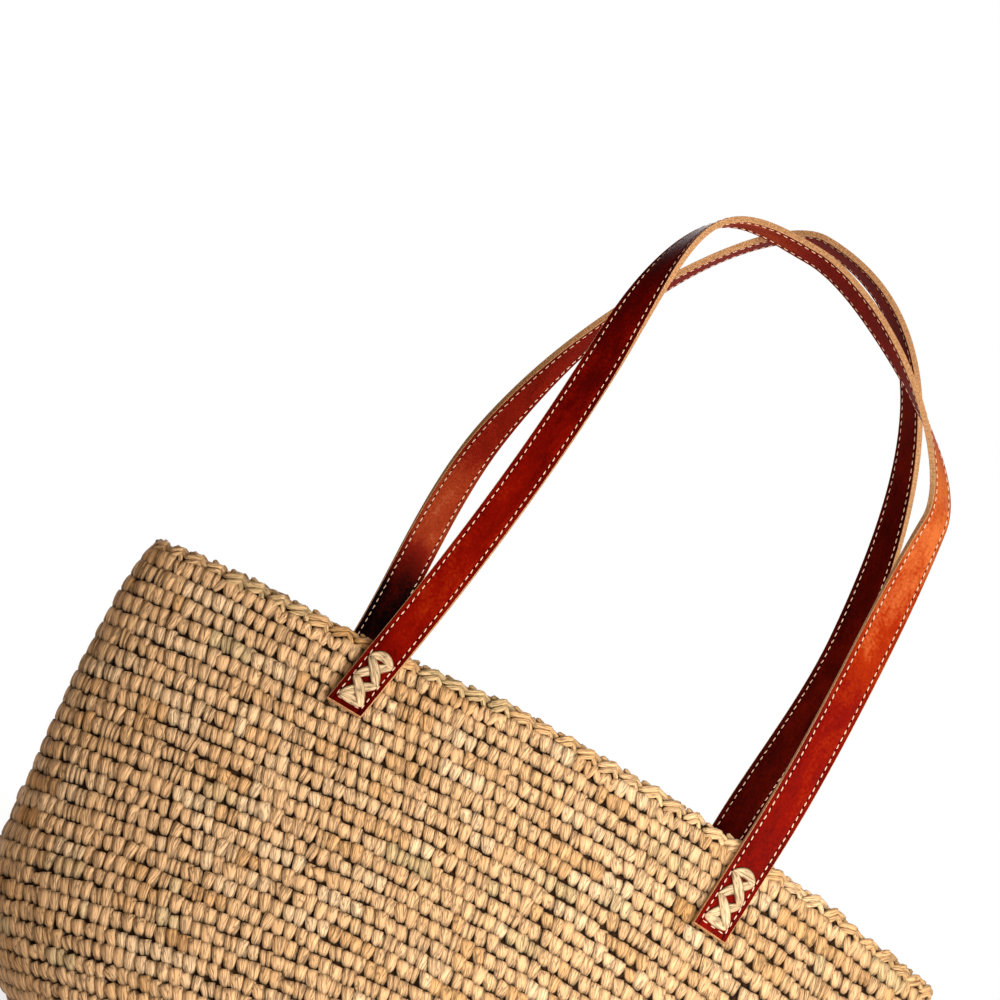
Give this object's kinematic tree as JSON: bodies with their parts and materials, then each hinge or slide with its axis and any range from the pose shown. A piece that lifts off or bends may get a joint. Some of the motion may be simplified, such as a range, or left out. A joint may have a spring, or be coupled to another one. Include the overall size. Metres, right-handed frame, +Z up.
{
  "type": "round raffia bag",
  "caption": "Crocheted raffia tote with a round base and an oval mouth, carried by swinging leather shoulder handles laced to its wall with raffia.",
  "frame": {"origin": "middle of the round base's underside, on the surface that the bag stands on", "axes": "+Z up, X along the mouth from the left end of the rim to the right one, -Y towards the front"},
  "size_m": [0.4856, 0.2526, 0.5926],
  "materials": {
    "raffia_body": "matte natural raffia, crocheted",
    "raffia_edging": "matte natural raffia, corded",
    "raffia_lacing": "pale straw raffia",
    "outer_leather": "semi-gloss cognac leather with raw tan edges",
    "lining_leather": "semi-gloss cognac leather with raw tan edges"
  },
  "bodies": {
    "bag": {"base_disc": "raffia_body", "side_wall": "raffia_body", "rim_edging": "raffia_edging", "front_handle_outer_tab_left": "outer_leather", "front_handle_outer_tab_right": "outer_leather", "front_handle_lining_tab_left": "lining_leather", "front_handle_lining_tab_right": "lining_leather", "front_lacing_left": "raffia_lacing", "front_lacing_right": "raffia_lacing", "back_handle_outer_tab_left": "outer_leather", "back_handle_outer_tab_right": "outer_leather", "back_handle_lining_tab_left": "lining_leather", "back_handle_lining_tab_right": "lining_leather", "back_lacing_left": "raffia_lacing", "back_lacing_right": "raffia_lacing"},
    "front_handle": {"front_handle_outer_loop": "outer_leather", "front_handle_lining_loop": "lining_leather"},
    "back_handle": {"back_handle_outer_loop": "outer_leather", "back_handle_lining_loop": "lining_leather"}
  },
  "joints": [
    {"name": "front_handle_swing", "type": "hinge", "parent": "bag", "child": "front_handle", "pos_m": [0, -0.066, 0.287], "axis": [1, 0, 0], "range_deg": [0, 160]},
    {"name": "back_handle_swing", "type": "hinge", "parent": "bag", "child": "back_handle", "pos_m": [0, 0.066, 0.287], "axis": [-1, 0, 0], "range_deg": [0, 160]}
  ]
}
